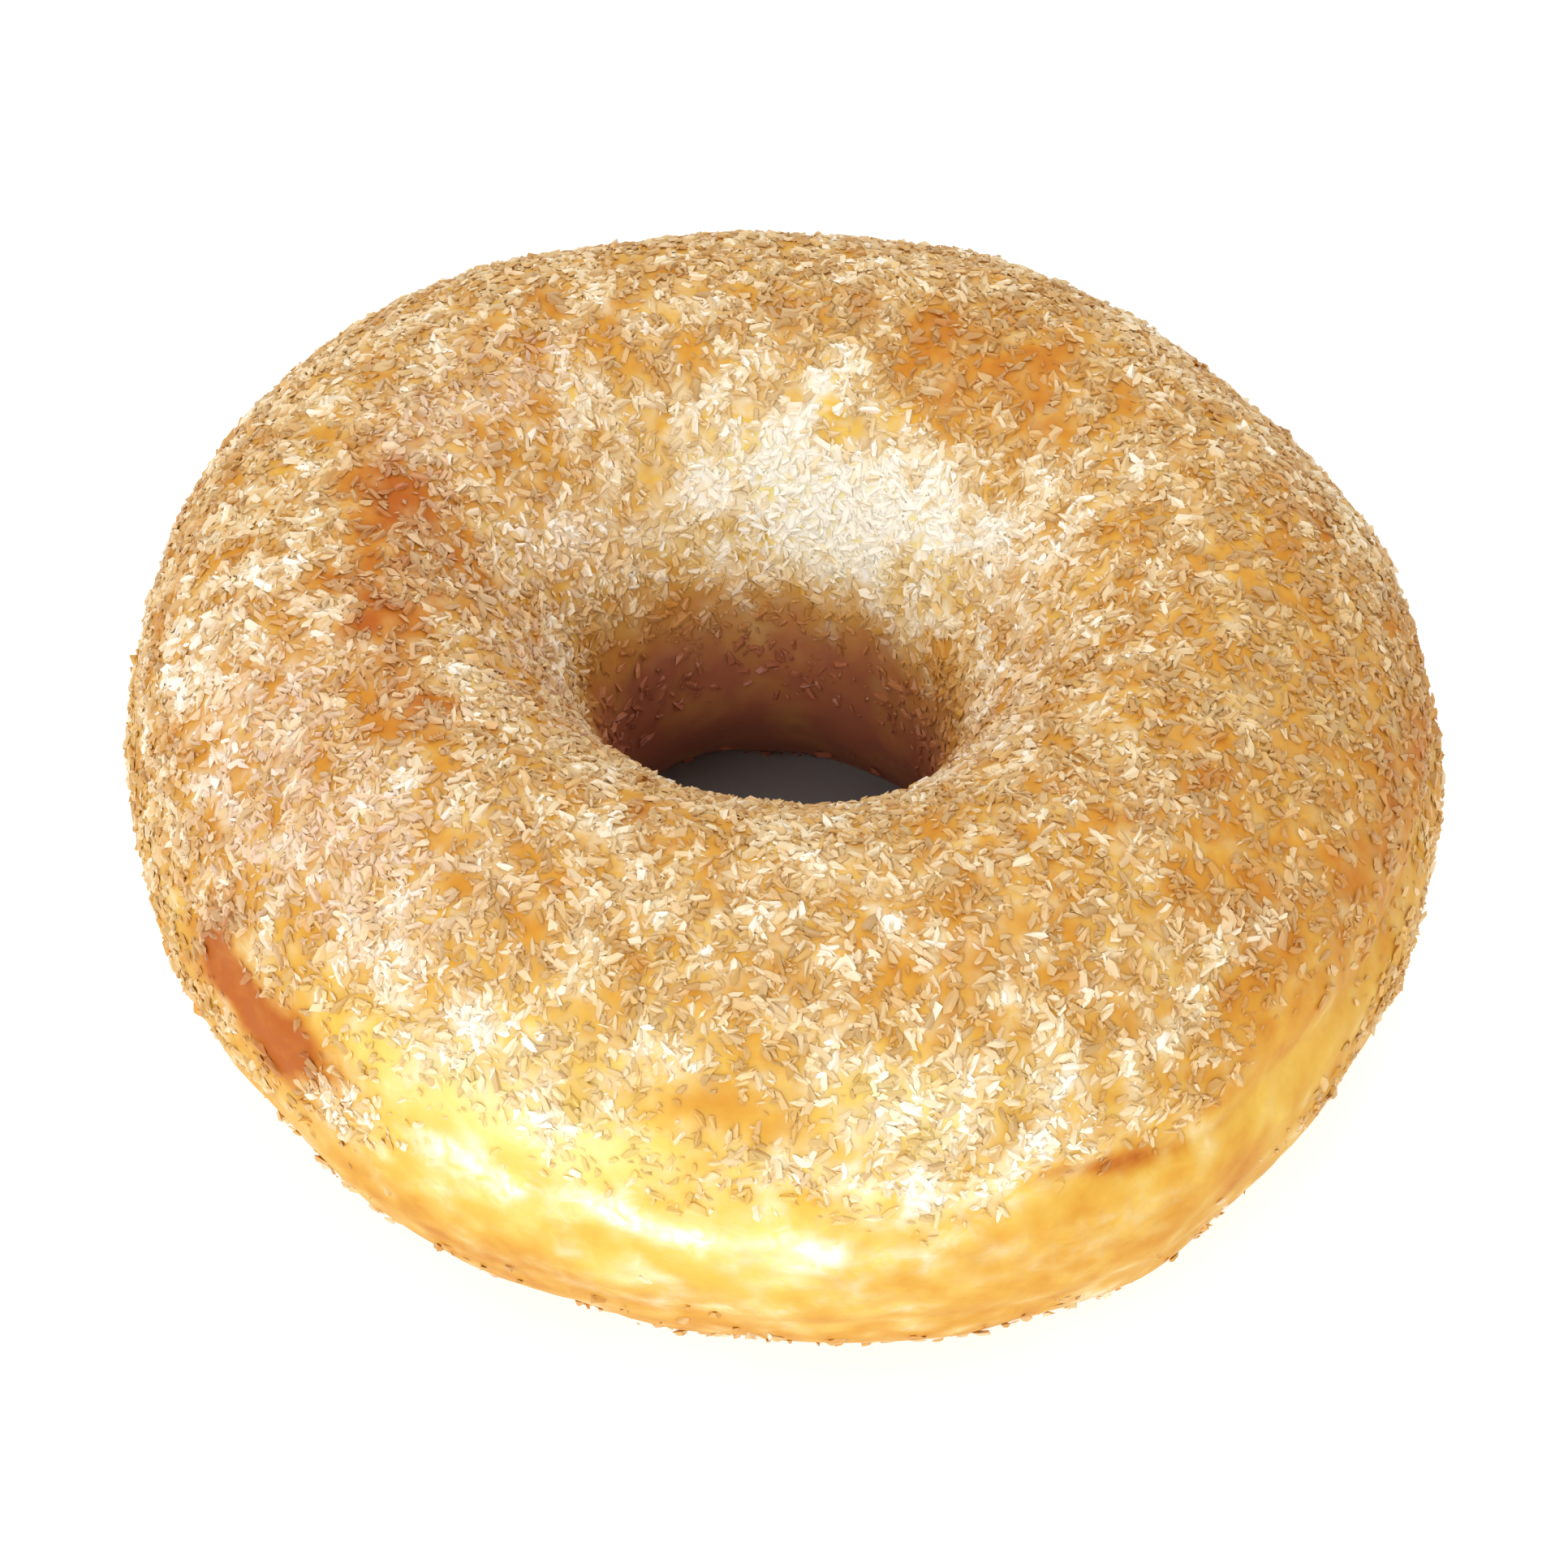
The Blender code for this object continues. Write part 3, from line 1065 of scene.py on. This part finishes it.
@dataclass
class SugarCoat:
    """Sugar crystals of one size, joined into one piece."""

    shape: RingShape
    browning: Browning
    middle: np.ndarray
    grain: Grain
    seed: int
    lean: float = 0.32
    lean_spread: float = 0.6
    unevenness: float = 0.44
    widths: tuple = (0.30, 0.48)
    heights: tuple = (0.18, 0.30)
    turn_spread: float = 0.02
    half_height: float = 0.26
    tone_spread: float = 0.42
    gathers: tuple = ((0.0013, 0.8), (0.0034, 0.5))
    pile: float = 0.00010
    bare_clear: float = 0.9
    white_clear: float = 1.1
    cream_tone: float = 0.4
    clear_rarity: float = 1.5
    most_clear: float = 2.0
    most_rosy: float = 2.0
    base_margin: float = 0.0006
    full_cover: float = 1.35
    piece: bpy.types.Object | None = None
    counted: int = 0

    def places(self, draw: np.random.Generator) -> tuple[Spots, np.ndarray]:
        """Picks where the crystals lie.

        Args:
            draw: The seeded source of chance.

        Returns:
            The places, and the sugar's cover there.
        """
        tries = self.grain.tries
        shares = (np.arange(tries) + draw.random(tries)) / tries
        wobble = draw.normal(0.0, self.turn_spread, tries)
        turn = (np.arange(tries) * GOLDEN_ANGLE + wobble) % (2.0 * math.pi)
        lift = self.shape.even_lifts(shares)
        points = self.shape.points(turn, lift)
        gathered = 1.0 + sum(amount * noise_at(points, spacing) for spacing, amount in self.gathers)
        cover = self.browning.cover(Spots(turn, lift, points))
        kept = (draw.random(tries) * self.full_cover < cover * gathered) & (points[:, 2] > self.base_margin)
        return Spots(turn[kept], lift[kept], points[kept]), cover[kept]

    def corners(self, unit: np.ndarray, count: int, draw: np.random.Generator) -> np.ndarray:
        """Points of uneven crystals about their own middles.

        Args:
            unit: Points of the even crystal.
            count: Number of crystals.
            draw: The seeded source of chance.

        Returns:
            The points of each crystal.
        """
        length = draw.uniform(self.grain.shortest, self.grain.longest, count)
        shares = [np.ones(count), draw.uniform(*self.widths, count), draw.uniform(*self.heights, count)]
        sides = length[:, None] * np.stack(shares, axis=1)
        jitter = self.unevenness * (draw.random((count, len(unit), 3)) - 0.5)
        return (unit[None] + jitter) * sides[:, None, :]

    def stances(self, out: np.ndarray, draw: np.random.Generator) -> np.ndarray:
        """Turns that lay each crystal about flat on the dough.

        Args:
            out: Direction out of the dough under each crystal.
            draw: The seeded source of chance.

        Returns:
            A rotation matrix for each crystal.
        """
        count = len(out)
        up = out + self.lean * draw.normal(0.0, self.lean_spread, (count, 3))
        up /= np.linalg.norm(up, axis=1, keepdims=True)
        side = np.cross(up, draw.normal(0.0, 1.0, (count, 3)))
        side /= np.linalg.norm(side, axis=1, keepdims=True)
        return np.stack([side, np.cross(up, side), up], axis=2)

    def clearness(self, chance: np.ndarray, cover: np.ndarray, tone: np.ndarray) -> np.ndarray:
        """How far each crystal lets the crust's colour through.

        Args:
            chance: A number from 0 to 1 for each crystal.
            cover: The sugar's cover under it.
            tone: The sugar's tone there.

        Returns:
            0 for a white crystal in thick sugar, and more for a clear one on bare crust.
        """
        bare, white = np.clip(1.0 - cover, 0.0, 1.0), np.clip(tone - self.cream_tone, 0.0, 1.0)
        clear = chance**self.clear_rarity + self.bare_clear * bare - self.white_clear * white
        return np.clip(clear, 0.0, self.most_clear)

    def build(self) -> bpy.types.Object:
        """Makes the crystals' mesh, with its tints stored on its points.

        Returns:
            The crystals, as one piece.
        """
        draw = np.random.default_rng(self.seed)
        spots, cover = self.places(draw)
        count = self.counted = len(cover)
        out = self.shape.outwards(spots.turn, spots.lift)
        unit, unit_faces = self.grain.form()
        turned = np.einsum("nij,nkj->nki", self.stances(out, draw), self.corners(unit, count, draw))
        rise = self.grain.shortest * (self.half_height - self.grain.sunk)
        rise = rise + self.pile * draw.random(count) ** 2
        centres = spots.points - self.middle + out * rise[:, None]
        placed = turned + centres[:, None, :]
        placed[:, :, 2] = np.maximum(placed[:, :, 2], 0.0)
        faces = unit_faces[None] + len(unit) * np.arange(count)[:, None, None]
        mesh = mesh_of(self.grain.label, placed.reshape(-1, 3), faces.reshape(-1, 3), smooth=False)
        chance = self.tone_spread * (2.0 * draw.random(count) - 1.0)
        tone = self.browning.tone(spots)
        values = {
            "bake": self.browning.bake(spots),
            "hole_shade": self.browning.hole_shade(spots),
            "tone": tone + chance,
            "rosy": self.browning.rosiness(spots) * draw.random(count) * self.most_rosy,
            "clear": self.clearness(draw.random(count), cover, tone),
        }
        for name, value in values.items():
            add_value(mesh, name, np.repeat(value, len(unit)))
        self.piece = bpy.data.objects.new(self.grain.label, mesh)
        bpy.context.scene.collection.objects.link(self.piece)
        return self.piece

    def dress(self, material: bpy.types.Material) -> None:
        """Gives the crystals their sugar.

        Args:
            material: The sugar.
        """
        self.piece.data.materials.append(material)
        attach(self.piece, BODY)


@dataclass
class Studio:
    """A pale floor, soft light from the front and above, and the camera."""

    height: float
    middle: np.ndarray
    elevation: float = math.radians(46.0)
    distance: float = 0.208
    pixels_per_metre: float = 31371.0
    sensor_mm: float = 36.0
    aim_right: float = 0.00024
    aim_down: float = 0.00098
    key_turn: float = math.radians(-18.0)
    key_lift: float = math.radians(36.0)
    key_distance: float = 0.55
    key_size: float = 0.24
    key_watts: float = 1.22
    fill_place: tuple = (0.0, 0.28, 0.55)
    fill_size: float = 0.5
    fill_watts: float = 0.88
    sky: float = 0.77
    white: tuple = (1.0, 1.0, 1.0)
    floor_half: float = 1.5
    floor_grey: tuple = (0.55, 0.55, 0.55)
    floor_glow: float = 0.65
    floor_roughness: float = 0.8
    black: tuple = (0.0, 0.0, 0.0)
    glow_per_metre: float = 330.0
    glow_start: float = 4.3
    nearest: float = 0.01

    def build(self) -> None:
        """Makes the floor, the lights and the camera."""
        self.floor()
        self.light()
        self.camera()
        settings = bpy.context.scene.view_settings
        settings.view_transform = "Standard"
        settings.look = "None"
        settings.exposure = 0.0

    def floor(self) -> None:
        """Lays a wide pale floor of one colour, whose glow stops under the doughnut, which paints shade
        onto the floor seen through the hole.
        """
        ways = ((-1, -1, 0), (1, -1, 0), (1, 1, 0), (-1, 1, 0))
        points = self.floor_half * np.array(ways, dtype=float)
        floor = bpy.data.objects.new("floor", mesh_of("floor", points, np.array([[0, 1, 2, 3]])))
        bpy.context.scene.collection.objects.link(floor)
        material = bpy.data.materials.new("pale floor")
        material.use_nodes = True
        nodes = Nodes(material.node_tree)
        shader = material.node_tree.nodes["Principled BSDF"]
        place = nodes.add("ShaderNodeTexCoord").outputs["Object"]
        away = nodes.add("ShaderNodeVectorMath", operation="LENGTH")
        nodes.link(place, away.inputs[0])
        distance = away.outputs["Value"]
        # The glow fades out within about 16 mm of the middle, leaving painted shade on the floor under the
        # ring and its hole.
        clear = nodes.maths("MULTIPLY_ADD", distance, self.glow_per_metre, -self.glow_start, clamp=True)
        nodes.link(nodes.mix(clear, rgba(self.black), rgba(self.white)), shader.inputs["Emission Color"])
        shader.inputs["Base Color"].default_value = rgba(self.floor_grey)
        shader.inputs["Emission Strength"].default_value = self.floor_glow
        shader.inputs["Roughness"].default_value = self.floor_roughness
        floor.data.materials.append(material)

    def lamp(self, name: str, place: Vector, size: float, watts: float) -> None:
        """Adds a soft square lamp that faces the doughnut.

        Args:
            name: The lamp's name.
            place: Where it hangs.
            size: Length of its side.
            watts: Its power.
        """
        data = bpy.data.lights.new(name, "AREA")
        data.size = size
        data.energy = watts
        lamp = bpy.data.objects.new(name, data)
        lamp.location = place
        towards = Vector((0.0, 0.0, self.height / 2.0)) - place
        lamp.rotation_euler = towards.to_track_quat("-Z", "Y").to_euler()
        bpy.context.scene.collection.objects.link(lamp)

    def light(self) -> None:
        """Hangs the lamps and sets the sky."""
        level = self.key_distance * math.cos(self.key_lift)
        upwards = self.key_distance * math.sin(self.key_lift)
        key = Vector((level * math.sin(self.key_turn), -level * math.cos(self.key_turn), upwards))
        self.lamp("key", key, self.key_size, self.key_watts)
        self.lamp("fill", Vector(self.fill_place), self.fill_size, self.fill_watts)
        world = bpy.data.worlds.new("studio")
        world.use_nodes = True
        sky = world.node_tree.nodes["Background"]
        sky.inputs["Color"].default_value = rgba(self.white)
        sky.inputs["Strength"].default_value = self.sky
        bpy.context.scene.world = world

    def camera(self) -> None:
        """Sets the camera at the photograph's angle."""
        data = bpy.data.cameras.new("camera")
        data.sensor_width = self.sensor_mm
        data.lens = self.sensor_mm * self.distance * self.pixels_per_metre / IMAGE_WIDTH
        data.clip_start = self.nearest
        camera = bpy.data.objects.new("camera", data)
        back = Vector((0.0, -math.cos(self.elevation), math.sin(self.elevation)))
        up = Vector((0.0, math.sin(self.elevation), math.cos(self.elevation)))
        aim = Vector((self.aim_right, 0.0, self.height / 2.0)) - up * self.aim_down - Vector(self.middle)
        camera.location = aim + back * self.distance
        camera.rotation_euler = (math.pi / 2.0 - self.elevation, 0.0, 0.0)
        bpy.context.scene.collection.objects.link(camera)
        bpy.context.scene.camera = camera


def main() -> None:
    """Builds the doughnut and its studio in order."""
    logging.basicConfig(level=logging.INFO, format="%(message)s")
    shape = RingShape()
    browning = Browning()
    middle = shape.middle()
    makers = (CrustTones(), SugarTones(), FineSugar())
    groups = {group.name: group for group in (maker.group() for maker in makers)}
    ring = DoughRing(shape, browning, middle)
    ring.build()
    ring.dress(CrustFinish().material(groups))
    LOG.info("dough ring: %d faces", len(ring.piece.data.polygons))
    sugar = SugarFinish("sugar crystals").material(groups)
    for seed, grain in enumerate(Grain, start=FIRST_SEED):
        coat = SugarCoat(shape, browning, middle, grain, seed)
        coat.build()
        coat.dress(sugar)
        LOG.info("%s: %d crystals", grain.label, coat.counted)
    Studio(shape.height, middle).build()
    LOG.info("studio ready")


if __name__ == "__main__":
    main()
